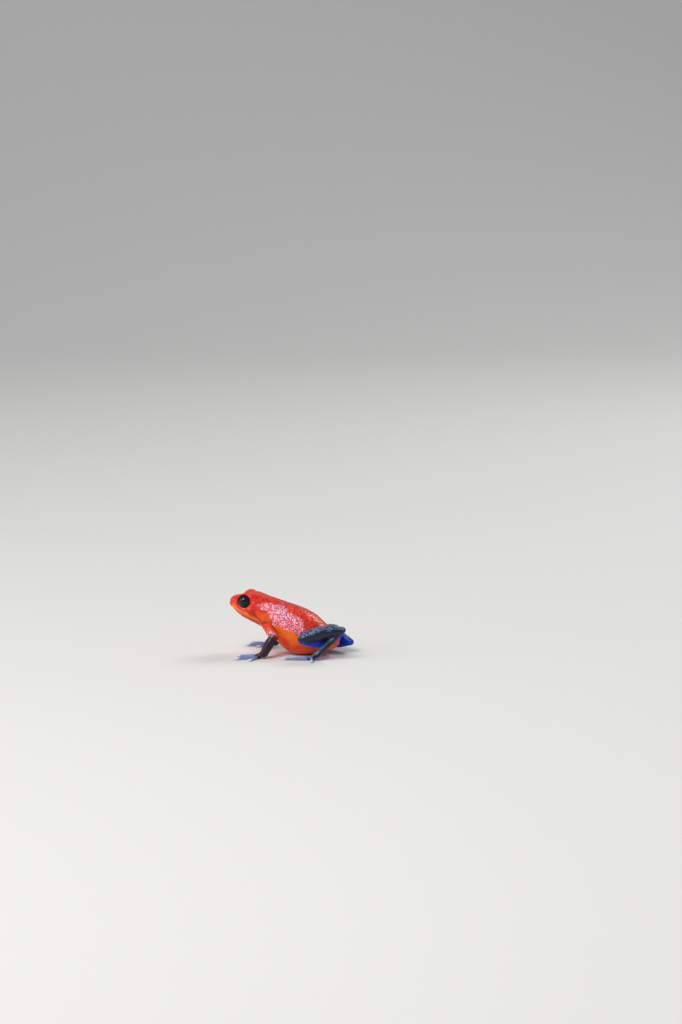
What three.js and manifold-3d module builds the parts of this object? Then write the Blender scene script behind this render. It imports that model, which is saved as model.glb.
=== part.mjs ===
// A strawberry poison dart frog at life size, sitting with its head raised, as one still model.
// Millimetres, +Z up. The frog looks along -X, so its left side faces -Y.
// The flesh is made of closed lofts. Each sub-part is cut clear of the one that it grows from.
import * as THREE from "three";
import { mergeVertices } from "three/addons/utils/BufferGeometryUtils.js";
import Module from "manifold-3d";

const wasm = await Module();
wasm.setup();

// Driving dimensions
const bodyLength = 22; // from the snout to the vent
const bodyPitch = THREE.MathUtils.degToRad(19.5); // the snout is raised by this much
const snoutHeight = 9.55; // the snout's tip over the ground
const gap = 0.25; // between sub-parts that touch
const eyeGap = 0.1; // between an eye and its socket
const tableLength = 22; // the length of body that the sizes below are for
const share = bodyLength / tableLength;

const mm = (value) => value * share;
const point = (x, y, z) => new THREE.Vector3(mm(x), mm(y), mm(z));

// Solids

// A closed three.js geometry as a solid that can be joined and cut.
function solidOf(geometry) {
  const bare = geometry.clone();
  bare.deleteAttribute("normal");
  bare.deleteAttribute("uv");
  const merged = mergeVertices(bare, 1e-5);
  return new wasm.Manifold(
    new wasm.Mesh({
      numProp: 3,
      vertProperties: new Float32Array(merged.attributes.position.array),
      triVerts: new Uint32Array(merged.index.array),
    }),
  );
}

const joined = (solids) => solids.reduce((sum, solid) => sum.add(solid));

// The largest closed surface of a solid, without what fusing and cutting left loose.
function largest(solid) {
  return solid.decompose().reduce((best, piece) => (piece.volume() > best.volume() ? piece : best));
}

function meshOf(name, solid, material) {
  const { numProp, vertProperties, triVerts } = solid.getMesh();
  const position = new Float32Array((vertProperties.length / numProp) * 3);
  for (let i = 0; i < position.length / 3; i++) {
    position.set(vertProperties.subarray(i * numProp, i * numProp + 3), i * 3);
  }
  const geometry = new THREE.BufferGeometry();
  geometry.setAttribute("position", new THREE.BufferAttribute(position, 3));
  geometry.setIndex(new THREE.BufferAttribute(new Uint32Array(triVerts), 1));
  geometry.computeVertexNormals();
  const mesh = new THREE.Mesh(geometry, material);
  mesh.name = name;
  return mesh;
}

// A sphere whose rings are moved: place(round, along) gives each vertex, with both from 0 to 1.
function reshapedSphere(around, rings, place) {
  const sphere = new THREE.SphereGeometry(1, around, rings);
  const { position, uv } = sphere.attributes;
  for (let i = 0; i < position.count; i++) {
    const spot = place((1 - uv.getX(i)) % 1, 1 - uv.getY(i));
    position.setXYZ(i, spot.x, spot.y, spot.z);
  }
  return solidOf(sphere);
}

// Smooth values through stations: rows of [place, value, value, ...], read at a place.
function stationsAt(rows) {
  const curves = rows[0].slice(1).map(
    (_, column) => new THREE.SplineCurve(rows.map((row) => new THREE.Vector2(row[0], row[column + 1]))),
  );
  const last = rows.length - 1;
  return (place) => {
    let i = 0;
    while (i < last - 1 && rows[i + 1][0] < place) i++;
    const part = THREE.MathUtils.clamp((place - rows[i][0]) / (rows[i + 1][0] - rows[i][0]), 0, 1);
    return curves.map((curve) => curve.getPoint((i + part) / last).y);
  };
}

// Head and trunk

// Along the body axis from the snout: [distance, top, widest level, bottom, half width] from that axis.
const bodyStations = [
  [0, 0.2, 0.2, 0.2, 0],
  [0.5, 1.06, 0.1, -0.72, 1.18],
  [1.4, 1.62, -0.05, -1.08, 1.92],
  [2.6, 2.25, -0.25, -1.4, 2.55],
  [3.8, 2.85, -0.35, -1.68, 3.0],
  [4.9, 3.2, -0.35, -1.93, 3.24],
  [6.0, 3.34, -0.2, -2.1, 3.32],
  [7.5, 3.4, 0.1, -2.35, 3.18],
  [9.1, 3.48, 0.2, -2.85, 3.3],
  [12.0, 3.6, -0.2, -4.2, 3.75],
  [14.2, 3.6, -0.5, -4.8, 3.95],
  [15.8, 3.36, -0.5, -4.6, 3.75],
  [17.5, 2.8, -0.3, -3.85, 3.25],
  [19.0, 2.1, -0.1, -3.0, 2.6],
  [20.6, 1.45, 0.05, -1.9, 1.95],
  [tableLength, 0.1, 0.1, 0.1, 0],
];
const squareness = 2.25; // of a section: 2 is an ellipse
const bodySides = 30; // corners of a section
const bodyRings = 36; // sections along the body

// Stations are read by this angle, so that both ends of the body come out round.
const angleOf = (distance) => Math.acos(1 - (2 * distance) / tableLength) / Math.PI;
const bodyAt = stationsAt(bodyStations.map(([distance, ...sizes]) => [angleOf(distance), ...sizes]));

// A place on or in the body: distance from the snout along the axis, sideways, and over the axis.
function onBody(distance, side, over) {
  const [cos, sin] = [Math.cos(bodyPitch), Math.sin(bodyPitch)];
  return new THREE.Vector3(
    mm(distance) * cos + mm(over) * sin,
    mm(side),
    mm(snoutHeight) - mm(distance) * sin + mm(over) * cos,
  );
}

const rounded = (value) => Math.sign(value) * Math.abs(value) ** (2 / squareness);

// A point of the body's surface, round from 0 to 1 (0.25 is the top), pushed out by grow.
function bodySurface(round, along, grow = 0) {
  const [top, widest, bottom, half] = bodyAt(along);
  const out = grow / share;
  const angle = round * 2 * Math.PI;
  const height = Math.sin(angle) > 0 ? top - widest : widest - bottom;
  const open = along === 0 || along === 1 ? 0 : 1; // both ends close in one point
  return onBody(
    (tableLength / 2) * (1 - Math.cos(along * Math.PI)) - out * Math.cos(along * Math.PI),
    open * (half + out) * rounded(Math.cos(angle)),
    widest + open * (height + out) * rounded(Math.sin(angle)),
  );
}

function bodySolid(grow = 0) {
  return reshapedSphere(bodySides, bodyRings, (round, along) => bodySurface(round, along, grow));
}

// The place on the body's side at a distance from the snout and a height over the axis.
function onFlank(distance, over, side, out = 0) {
  const [top, widest, bottom, half] = bodyAt(angleOf(distance));
  const height = over > widest ? top - widest : widest - bottom;
  const level = Math.min(1, Math.abs(over - widest) / height);
  return onBody(distance, side * (half * (1 - level ** squareness) ** (1 / squareness) + out), over);
}

// Limbs

// A closed tube with round ends along a smooth path. radii are read along the path, flat is its
// height over its width, and grow pushes the surface out.
function limb(path, radii, { grow = 0, around = 12, rings = 8, flat = 1 } = {}) {
  const curve = new THREE.CatmullRomCurve3(path, false, "centripetal");
  const length = curve.getLength();
  const radiusAt = stationsAt(radii.map((radius, i) => [i / (radii.length - 1), mm(radius)]));
  const up = new THREE.Vector3(0, 0, 1);
  const caps = 2; // rings in each round end
  const total = rings + 2 * caps;
  return reshapedSphere(around, total, (round, along) => {
    const ring = Math.round(along * total);
    const lift = ring < caps ? ring / caps - 1 : Math.max(0, (ring - rings - caps) / caps);
    const part = THREE.MathUtils.clamp((ring - caps) / rings, 0, 1);
    const radius = radiusAt(part)[0] + grow;
    const centre = curve.getPointAt(part);
    const tangent = curve.getTangentAt(part);
    const side = new THREE.Vector3().crossVectors(up, tangent).normalize();
    const over = new THREE.Vector3().crossVectors(tangent, side);
    const wide = Math.cos((lift * Math.PI) / 2) * radius;
    const angle = round * 2 * Math.PI;
    const pole = Math.abs(lift) === 1;
    return centre
      .addScaledVector(tangent, Math.sin((lift * Math.PI) / 2) * radius)
      .addScaledVector(side, pole ? 0 : Math.cos(angle) * wide)
      .addScaledVector(over, pole ? 0 : Math.sin(angle) * wide * (flat + (grow / radius) * (1 - flat)));
  });
}

function ball(centre, radius, scale = [1, 1, 1], around = 16) {
  const sphere = new THREE.SphereGeometry(mm(radius), around, Math.round(around * 0.6));
  sphere.scale(...scale);
  sphere.translate(centre.x, centre.y, centre.z);
  return solidOf(sphere);
}

// Head

const neckDistance = 7.8; // of the cut between head and trunk from the snout
const eyeRadius = 1.3;
const eyeDistance = 3.12;
const eyeOver = 1.3;
const eyeSide = 2.15;
const lidOpening = 1.2; // radius of the opening between the lids
const lidRadius = 1.62; // of the bulge that holds the eye
const lidRim = 0.2;
const lidRise = 0.72; // from the middle of the eye out to the edge of the lids
const holeStart = 0.3; // from the middle of the eye out to where the opening starts
const holeDepth = 3;
const [browDistance, browSide, browOver, browRadius] = [4.5, 1.4, 1.38, 1.55]; // the swelling behind the lids
const nostril = { distance: 0.66, over: 0.16, radius: 0.15 };
const eardrum = { distance: 5.4, over: 0.05, radius: 0.45, groove: 0.1 };
const lipLine = [
  [7.15, -1.42],
  [6.6, -1.24],
  [5.6, -1.12],
  [4.4, -1.04],
  [3.2, -0.97],
  [2.1, -0.86],
  [1.2, -0.72],
  [0.62, -0.6],
  [0.38, -0.52],
];
const lipFront = { distance: 0.22, over: -0.5 };
const grooveRadius = 0.13;
const lipRadius = 0.29;
const lipSpacing = 0.32; // from the line of the mouth to the middle of a lip
const lipInset = 0.17; // of a lip's middle under the skin
const mouthRings = 26;

// The line of the mouth from one corner round the snout to the other, moved up by lift and out by out.
function mouthPath(lift, out) {
  const half = (side) => lipLine.map(([distance, over]) => onFlank(distance, over + lift, side, out));
  const front = onBody(lipFront.distance - out, 0, lipFront.over + lift);
  return [...half(-1), front, ...half(1).reverse()];
}

function turnedTo(geometry, direction, place) {
  const turn = new THREE.Quaternion().setFromUnitVectors(new THREE.Vector3(0, 0, 1), direction);
  geometry.applyQuaternion(turn);
  return geometry.translate(place.x, place.y, place.z);
}

const eyeCentre = (side) => onBody(eyeDistance, side * eyeSide, eyeOver);
const eyeLook = (side) => new THREE.Vector3(-0.22, side, 0.1).normalize();

function lidRing(side) {
  const place = eyeCentre(side).addScaledVector(eyeLook(side), mm(lidRise));
  const ring = new THREE.TorusGeometry(mm(lidOpening + lidRim * 0.4), mm(lidRim), 6, 20);
  return solidOf(turnedTo(ring, eyeLook(side), place));
}

function lidHole(side) {
  const depth = mm(holeDepth);
  const hole = new THREE.CylinderGeometry(mm(lidOpening), mm(lidOpening), depth, 20);
  hole.rotateX(Math.PI / 2);
  const place = eyeCentre(side).addScaledVector(eyeLook(side), depth / 2 + mm(holeStart));
  return solidOf(turnedTo(hole, eyeLook(side), place));
}

function eardrumRing(side) {
  const place = onFlank(eardrum.distance, eardrum.over, side, 0.02);
  const ring = new THREE.TorusGeometry(mm(eardrum.radius), mm(eardrum.groove), 5, 14);
  return solidOf(turnedTo(ring, new THREE.Vector3(0, side, 0.12).normalize(), place));
}

// A box that holds everything before (or behind) a distance from the snout.
function bodyHalf(distance, behind) {
  const size = mm(60);
  const box = new THREE.BoxGeometry(size, size, size);
  box.translate((behind ? 1 : -1) * (size / 2 + gap / 2), 0, 0);
  box.rotateY(bodyPitch);
  const place = onBody(distance, 0, 0);
  return solidOf(box.translate(place.x, place.y, place.z));
}

function headAndTrunk() {
  const lids = [-1, 1].map((side) => {
    const bulge = ball(onBody(eyeDistance + 0.1, side * (eyeSide - 0.2), eyeOver), lidRadius, [1, 1, 1], 16);
    const brow = ball(onBody(browDistance, side * browSide, browOver), browRadius, [1, 1, 1], 16);
    return bulge.add(brow).subtract(lidHole(side)).add(lidRing(side));
  });
  const lips = [lipSpacing, -lipSpacing].map((lift) =>
    limb(mouthPath(lift, -lipInset), [lipRadius * 0.7, lipRadius, lipRadius, lipRadius, lipRadius * 0.7], {
      around: 6,
      rings: mouthRings,
    }),
  );
  const groove = limb(mouthPath(0, 0.02), [grooveRadius, grooveRadius], { around: 5, rings: mouthRings });
  const pits = [-1, 1].map((side) => ball(onFlank(nostril.distance, nostril.over, side), nostril.radius, [1, 1, 1], 8));
  const sockets = [-1, 1].map((side) => ball(eyeCentre(side), eyeRadius + eyeGap, [1, 1, 1], 20));
  const whole = joined([bodySolid(), ...lids, ...lips]);
  const cut = joined([groove, ...pits, ...sockets, eardrumRing(-1), eardrumRing(1)]);
  return whole.subtract(cut);
}

// Legs. Places are [forward distance from the snout, outwards, up], in the pose of the photograph.

const pose = {
  left: {
    shoulder: [7.6, 2.3, 5.8],
    elbow: [9.45, 4.7, 3.7],
    wrist: [8.1, 6.0, 0.95],
    palm: [7.0, 6.4, 0.45],
    fingers: [[5.0, 4.7], [3.2, 5.6], [3.6, 8.6], [6.2, 9.0]],
    hip: [19.3, 1.3, 4.0],
    knee: [15.7, 6.3, 4.1],
    heel: [22.2, 3.6, 5.45],
    foot: [17.9, 5.5, 1.05],
    sole: [16.7, 5.6, 0.45],
    toes: [[16.0, 4.1], [15.0, 4.2], [13.6, 5.2], [11.9, 6.5], [17.4, 7.6]],
  },
  right: {
    shoulder: [7.6, 2.3, 5.8],
    elbow: [8.5, 4.6, 3.3],
    wrist: [7.3, 4.9, 0.95],
    palm: [6.2, 5.2, 0.45],
    fingers: [[4.3, 3.8], [2.1, 4.4], [2.3, 6.8], [4.5, 7.9]],
    hip: [19.3, 1.3, 3.9],
    knee: [15.6, 6.4, 3.2],
    heel: [22.0, 3.4, 1.95],
    foot: [18.0, 5.0, 0.85],
    sole: [16.8, 5.4, 0.45],
    toes: [[16.2, 4.0], [15.0, 4.1], [13.7, 5.2], [12.0, 7.0], [17.0, 8.0]],
  },
};
const digitRadius = 0.26;
const discRadius = 0.4;
const discFlat = 0.55; // height of a toe disc over its width
const digitHeight = 0.2; // of a digit's middle over the ground

const between = (a, b, part, lift = 0) => {
  const spot = a.clone().lerp(b, part);
  spot.z += mm(lift);
  return spot;
};

// The tubes of one side's arm and leg, pushed out by grow.
function limbsOf(side, grow = 0) {
  const at = (name) => {
    const [x, out, z] = pose[side][name];
    return point(x, (side === "left" ? -1 : 1) * out, z);
  };
  const [shoulder, elbow, wrist, palm] = ["shoulder", "elbow", "wrist", "palm"].map(at);
  const [hip, knee, heel, foot, sole] = ["hip", "knee", "heel", "foot", "sole"].map(at);
  return {
    upper_arm: limb([shoulder, between(shoulder, elbow, 0.5, 0.1), elbow], [1.05, 0.95, 0.8], { grow }),
    forearm: limb([elbow, between(elbow, wrist, 0.5, 0.1), wrist], [0.8, 0.86, 0.84, 0.72], { grow }),
    palm: limb([wrist, between(wrist, palm, 0.5), palm], [0.66, 0.62, 0.62], { grow, flat: 0.74 }),
    thigh: limb([hip, between(hip, knee, 0.5, -0.3), knee], [1.6, 1.75, 1.5, 1.1], { grow, around: 16, rings: 10 }),
    shank: limb([knee, between(knee, heel, 0.5, 0.4), heel], [1.0, 1.22, 1.12, 0.88, 0.68], {
      grow,
      around: 14,
      rings: 10,
    }),
    tarsus: limb([heel, between(heel, foot, 0.5, -0.1), foot], [0.66, 0.6, 0.56, 0.56], { grow }),
    sole: limb([foot, between(foot, sole, 0.5, -0.05), sole], [0.54, 0.6, 0.6], { grow, flat: 0.72 }),
  };
}

// A finger or toe on the ground, from its root to its tip, with a round flat disc at the end.
function digit(root, tip, bend) {
  const across = new THREE.Vector3(tip.y - root.y, root.x - tip.x, 0).normalize();
  const knuckle = between(root, tip, 0.5, 0.12).addScaledVector(across, mm(bend));
  const tube = limb([root, knuckle, tip], [digitRadius * 1.15, digitRadius, digitRadius * 0.92], {
    around: 6,
    rings: 4,
  });
  return tube.add(ball(tip, discRadius, [1, 1, discFlat], 9));
}

function digitsOf(side, from, tips) {
  const sign = side === "left" ? -1 : 1;
  const [x, out] = pose[side][from];
  return pose[side][tips].map(([tipX, tipOut], i) => {
    const tip = point(tipX, sign * tipOut, digitHeight);
    const root = point(x, sign * out, digitHeight + 0.05);
    return digit(root, tip, sign * (i - 1.5) * 0.08);
  });
}

// Finishes

const finish = (color, roughness) => new THREE.MeshStandardMaterial({ color, roughness, metalness: 0 });
const redSkin = finish(0xd8220c, 0.35);
const orangeSkin = finish(0xe8410f, 0.35);
const darkSkin = finish(0x2a1226, 0.4);
const blueSkin = finish(0x1c2f86, 0.4);
const eyeBlack = finish(0x05060a, 0.06);

// Assembly: each sub-part is cut clear of what is already in place and of the ground.

const frog = new THREE.Group();
const ground = solidOf(new THREE.BoxGeometry(mm(90), mm(90), mm(20)).translate(0, 0, mm(-10)));
const body = headAndTrunk();
const grownBody = bodySolid(gap);

function place(name, solid, clear, material) {
  const shape = largest(clear.reduce((rest, other) => rest.subtract(other), solid).subtract(ground));
  frog.add(meshOf(name, shape, material));
}

place("head", body.intersect(bodyHalf(neckDistance, false)), [], redSkin);
place("torso", body.intersect(bodyHalf(neckDistance, true)), [], orangeSkin);
for (const side of ["left", "right"]) {
  const sign = side === "left" ? -1 : 1;
  const plain = limbsOf(side);
  const grown = limbsOf(side, gap);
  const hand = joined([plain.palm, ...digitsOf(side, "palm", "fingers")]);
  const toes = joined([plain.sole, ...digitsOf(side, "sole", "toes")]);
  frog.add(meshOf(`eye_${side}`, ball(eyeCentre(sign), eyeRadius, [1, 1, 1], 20), eyeBlack));
  place(`upper_arm_${side}`, plain.upper_arm, [grownBody], redSkin);
  place(`forearm_${side}`, plain.forearm, [grownBody, grown.upper_arm], darkSkin);
  place(`hand_${side}`, hand, [grownBody, grown.forearm], blueSkin);
  place(`thigh_${side}`, plain.thigh, [grownBody], blueSkin);
  place(`shank_${side}`, plain.shank, [grownBody, grown.thigh], blueSkin);
  place(`tarsus_${side}`, plain.tarsus, [grownBody, grown.thigh, grown.shank], blueSkin);
  place(`foot_${side}`, toes, [grownBody, grown.thigh, grown.shank, grown.tarsus], blueSkin);
}

// The origin is on the ground under the middle of the frog.
const extent = new THREE.Box3().setFromObject(frog, true);
const middle = extent.getCenter(new THREE.Vector3());
frog.position.set(-middle.x, -middle.y, -extent.min.z);

export default frog;
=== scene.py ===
# A strawberry poison dart frog at life size, on a pale studio floor, in metres.
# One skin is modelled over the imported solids. A loft, balls and tubes are blended in a field of
# distances, which is turned into a mesh. Granules and colours come from named sizes and noise.
import math

import bpy
import numpy as np
import openvdb
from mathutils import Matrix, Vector


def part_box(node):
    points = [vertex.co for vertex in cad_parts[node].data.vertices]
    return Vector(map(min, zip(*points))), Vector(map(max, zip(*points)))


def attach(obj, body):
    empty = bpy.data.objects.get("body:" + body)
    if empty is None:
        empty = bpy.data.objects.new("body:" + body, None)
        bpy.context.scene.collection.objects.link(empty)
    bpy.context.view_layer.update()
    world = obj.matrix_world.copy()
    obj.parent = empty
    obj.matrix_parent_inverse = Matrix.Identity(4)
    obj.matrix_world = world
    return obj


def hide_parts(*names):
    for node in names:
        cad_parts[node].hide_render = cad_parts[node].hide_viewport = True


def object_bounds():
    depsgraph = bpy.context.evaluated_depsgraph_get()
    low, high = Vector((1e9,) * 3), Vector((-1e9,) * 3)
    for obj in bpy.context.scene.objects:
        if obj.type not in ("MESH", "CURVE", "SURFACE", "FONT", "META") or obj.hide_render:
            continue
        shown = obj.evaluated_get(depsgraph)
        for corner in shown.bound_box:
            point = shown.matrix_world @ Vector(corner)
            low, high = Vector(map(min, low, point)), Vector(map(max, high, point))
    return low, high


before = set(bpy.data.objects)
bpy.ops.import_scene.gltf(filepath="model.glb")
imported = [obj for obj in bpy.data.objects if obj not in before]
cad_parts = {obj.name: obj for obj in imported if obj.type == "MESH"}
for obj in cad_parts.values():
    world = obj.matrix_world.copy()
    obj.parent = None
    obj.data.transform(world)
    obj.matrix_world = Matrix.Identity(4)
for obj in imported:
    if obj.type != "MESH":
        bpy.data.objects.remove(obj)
cad_low, cad_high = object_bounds()

MM = 0.001  # metres in a millimetre: the sizes below are in millimetres

# Driving dimensions, the same as those of the solids, as are the stations and the pose below
BODY_LENGTH = 22.0
BODY_PITCH = math.radians(19.5)
SNOUT_HEIGHT = 9.55
EYE_RADIUS = 1.3
EYE_DISTANCE = 3.12
EYE_OVER = 1.3
EYE_SIDE = 2.15
BROW_DISTANCE, BROW_SIDE, BROW_OVER, BROW_RADIUS = 4.5, 1.4, 1.38, 1.55
NOSTRIL = (0.66, 0.16)
EARDRUM = (5.4, 0.05)
LIP_LINE = (
    (7.15, -1.42),
    (6.6, -1.24),
    (5.6, -1.12),
    (4.4, -1.04),
    (3.2, -0.97),
    (2.1, -0.86),
    (1.2, -0.72),
    (0.62, -0.6),
    (0.38, -0.52),
)
LIP_FRONT = (0.22, -0.5)

# The lids, which are finer here than in the solids, and the way that the eyes look
EYE_LOOK = (-0.08, 1.0, 0.1)  # backwards, outwards and up
LID_RADIUS = 1.53
LID_SINK = 0.12  # of the lids' middle under the eye's
LID_DEPTHS = (0.1, 0.3)  # of the outer and the inner lid behind the eye's middle
LID_EDGE = 0.07  # radius of the lids' rounded edge
LID_OPENING = math.radians(66)  # half the angle between the lids, seen from the eye's middle

# Along the body axis from the snout: distance, top, widest level, bottom, half width, from that axis
BODY_STATIONS = (
    (0, 0.2, 0.2, 0.2, 0),
    (0.5, 1.06, 0.1, -0.72, 1.18),
    (1.4, 1.62, -0.05, -1.08, 1.92),
    (2.6, 2.25, -0.25, -1.4, 2.55),
    (3.8, 2.85, -0.35, -1.68, 3.0),
    (4.9, 3.2, -0.35, -1.93, 3.24),
    (6.0, 3.34, -0.2, -2.1, 3.32),
    (7.5, 3.4, 0.1, -2.35, 3.18),
    (9.1, 3.48, 0.2, -2.85, 3.3),
    (12.0, 3.6, -0.2, -4.2, 3.75),
    (14.2, 3.6, -0.5, -4.8, 3.95),
    (15.8, 3.36, -0.5, -4.6, 3.75),
    (17.5, 2.8, -0.3, -3.85, 3.25),
    (19.0, 2.1, -0.1, -3.0, 2.6),
    (20.6, 1.45, 0.05, -1.9, 1.95),
    (22, 0.1, 0.1, 0.1, 0),
)
SQUARENESS = 2.25  # of a section: 2 is an ellipse


def on_body(distance, side, over):
    """A place from its distance behind the snout, sideways (+ is the frog's right) and over the axis."""
    cos, sin = math.cos(BODY_PITCH), math.sin(BODY_PITCH)
    return np.stack(
        [
            distance * cos + over * sin,
            side + 0 * distance,
            SNOUT_HEIGHT - distance * sin + over * cos,
        ],
        axis=-1,
    )


# The frog's own coordinates start at the snout. The frame's start under the middle of the frog.
eye_low, eye_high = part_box("eye_left")
eye_left = on_body(np.float64(EYE_DISTANCE), -EYE_SIDE, EYE_OVER)
SHIFT = np.array((eye_low + eye_high) / 2) / MM - eye_left


def catmull(values, at):
    """Smooth values along evenly numbered stations, read at fractional numbers."""
    values = np.asarray(values, float)
    last = len(values) - 1
    i = np.clip(np.floor(at).astype(int), 0, last - 1)
    w = np.clip(at - i, 0, 1)
    w = w.reshape(w.shape + (1,) * (values.ndim - 1))
    p0, p1 = values[np.maximum(i - 1, 0)], values[i]
    p2, p3 = values[i + 1], values[np.minimum(i + 2, last)]
    v0, v1 = (p2 - p0) / 2, (p3 - p1) / 2
    return (2 * p1 - 2 * p2 + v0 + v1) * w**3 + (-3 * p1 + 3 * p2 - 2 * v0 - v1) * w**2 + v0 * w + p1


STATIONS = np.array(BODY_STATIONS, float)


def angle_of(distance):
    """The share along the body at a distance behind the snout, spaced closely at both ends."""
    return np.arccos(np.clip(1 - 2 * distance / BODY_LENGTH, -1, 1)) / np.pi


STATION_ANGLES = angle_of(STATIONS[:, 0])


def body_at(along):
    """Top, widest level, bottom and half width at a share along the body."""
    numbers = np.interp(along, STATION_ANGLES, np.arange(len(STATIONS)))
    return np.moveaxis(catmull(STATIONS[:, 1:], numbers), -1, 0)


def rounded(value):
    """A cosine or sine, changed so that the section is a little squarer than an ellipse."""
    return np.sign(value) * np.abs(value) ** (2 / SQUARENESS)


def body_loft(around=160, rings=260):
    """The points and faces of the closed loft of head and trunk."""
    along = np.linspace(0, 1, rings + 1)[1:-1, None]
    turn = (np.arange(around) / around * 2 * np.pi)[None, :]
    top, widest, bottom, half = body_at(along)
    height = np.where(np.sin(turn) > 0, top - widest, widest - bottom)
    places = on_body(
        BODY_LENGTH / 2 * (1 - np.cos(along * np.pi)) + 0 * turn,
        half * rounded(np.cos(turn)),
        widest + height * rounded(np.sin(turn)),
    ).reshape(-1, 3)
    ends = on_body(np.array([0, BODY_LENGTH]), np.zeros(2), STATIONS[[0, -1], 1])
    row = np.arange(rings - 2)[:, None] * around
    a = row + np.arange(around)[None, :]
    b = row + (np.arange(around)[None, :] + 1) % around
    quads = np.stack([a, a + around, b + around, b], -1).reshape(-1, 4)
    first, second = len(places), len(places) + 1
    ring = np.arange(around)
    following = (ring + 1) % around
    final = (rings - 2) * around
    fans = np.concatenate(
        [
            np.stack([np.full(around, first), ring, following], -1),
            np.stack([np.full(around, second), final + following, final + ring], -1),
        ]
    )
    return np.concatenate([places, ends]), fans, quads


# The pose: places are (distance behind the snout, outwards, up)
POSE = {
    "left": {
        "shoulder": (7.6, 2.3, 5.8),
        "elbow": (9.45, 4.7, 3.7),
        "wrist": (8.1, 6.0, 0.95),
        "palm": (7.0, 6.4, 0.45),
        "fingers": ((5.0, 4.7), (3.2, 5.6), (3.6, 8.6), (6.2, 9.0)),
        "hip": (19.3, 1.3, 4.0),
        "knee": (15.7, 6.3, 4.1),
        "heel": (22.2, 3.6, 5.45),
        "foot": (17.9, 5.5, 1.05),
        "sole": (16.7, 5.6, 0.45),
        "toes": ((16.0, 4.1), (15.0, 4.2), (13.6, 5.2), (11.9, 6.5), (17.4, 7.6)),
    },
    "right": {
        "shoulder": (7.6, 2.3, 5.8),
        "elbow": (8.5, 4.6, 3.3),
        "wrist": (7.3, 4.9, 0.95),
        "palm": (6.2, 5.2, 0.45),
        "fingers": ((4.3, 3.8), (2.1, 4.4), (2.3, 6.8), (4.5, 7.9)),
        "hip": (19.3, 1.3, 3.9),
        "knee": (15.6, 6.4, 3.2),
        "heel": (22.0, 3.4, 1.95),
        "foot": (18.0, 5.0, 0.85),
        "sole": (16.8, 5.4, 0.45),
        "toes": ((16.2, 4.0), (15.0, 4.1), (13.7, 5.2), (12.0, 7.0), (17.0, 8.0)),
    },
}
SIGN = {"left": -1, "right": 1}
DIGIT_HEIGHT = 0.2
DIGIT_RADII = (0.3, 0.25, 0.27, 0.22, 0.24)  # from the palm or sole to the tip
DISC_RADII = (0.34, 0.38)
DISC_START, DISC_END = 0.16, 0.04  # from the digit's tip back to the root, and beyond it
DISC_FLATNESS = 0.52
KNUCKLE_LIFT = 0.12
DIGIT_BEND = 0.08  # of the knuckles away from the middle of the hand or foot

# Each part of a limb: its two ends, the lift of its middle, its radii and its flatness
LIMBS = {
    "upper_arm": ("shoulder", "elbow", 0.1, (1.05, 0.95, 0.8), 1.0),
    "forearm": ("elbow", "wrist", 0.1, (0.8, 0.86, 0.84, 0.72), 1.0),
    "palm": ("wrist", "palm", 0, (0.66, 0.62, 0.62), 0.74),
    "thigh": ("hip", "knee", -0.3, (1.6, 1.75, 1.5, 1.1), 1.0),
    "shank": ("knee", "heel", 0.4, (1.0, 1.22, 1.12, 0.88, 0.64), 1.0),
    "tarsus": ("heel", "foot", -0.1, (0.58, 0.6, 0.56, 0.56), 1.0),
    "sole": ("foot", "sole", -0.05, (0.54, 0.6, 0.6), 0.72),
}


def joint(side, name):
    """A place of the pose in the frog's own coordinates."""
    x, out, z = POSE[side][name]
    return np.array([x, SIGN[side] * out, z])


def smooth_path(points, steps=8):
    """A smooth path through a few points, with this many steps from each to the next."""
    points = np.array(points, float)
    return catmull(points, np.linspace(0, len(points) - 1, steps * (len(points) - 1) + 1))


def bent(a, b, lift):
    """Three points from a to b, with the middle one lifted."""
    return [a, (a + b) / 2 + np.array([0, 0, lift]), b]


class Tube:
    """A round or flat tube along a path, as a field of distances."""

    def __init__(self, path, radii, flat=1.0, steps=8):
        self.path = smooth_path(path, steps)
        numbers = np.linspace(0, len(radii) - 1, len(self.path))
        self.radii = catmull(np.array(radii, float), numbers)
        self.flat = flat

    def box(self, margin):
        reach = self.radii.max() + margin
        return self.path.min(0) - reach, self.path.max(0) + reach

    def distance(self, points):
        stretch = np.array([1, 1, 1 / self.flat], points.dtype)
        best = np.full(points.shape[:-1], np.inf, points.dtype)
        for a, b, ra, rb in zip(self.path, self.path[1:], self.radii, self.radii[1:]):
            way = ((b - a) * stretch).astype(points.dtype)
            off = (points - a.astype(points.dtype)) * stretch
            t = np.clip(off @ way / (way @ way), 0, 1)
            gone = np.linalg.norm(off - t[..., None] * way, axis=-1)
            best = np.minimum(best, gone - (ra + (rb - ra) * t))
        return best


def limb_tubes(side):
    """The tubes of one arm and one leg by name."""
    tubes = {}
    for name, (start, end, lift, radii, flat) in LIMBS.items():
        path = bent(joint(side, start), joint(side, end), lift)
        tubes[name] = Tube(path, radii, flat=flat)
    return tubes


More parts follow.
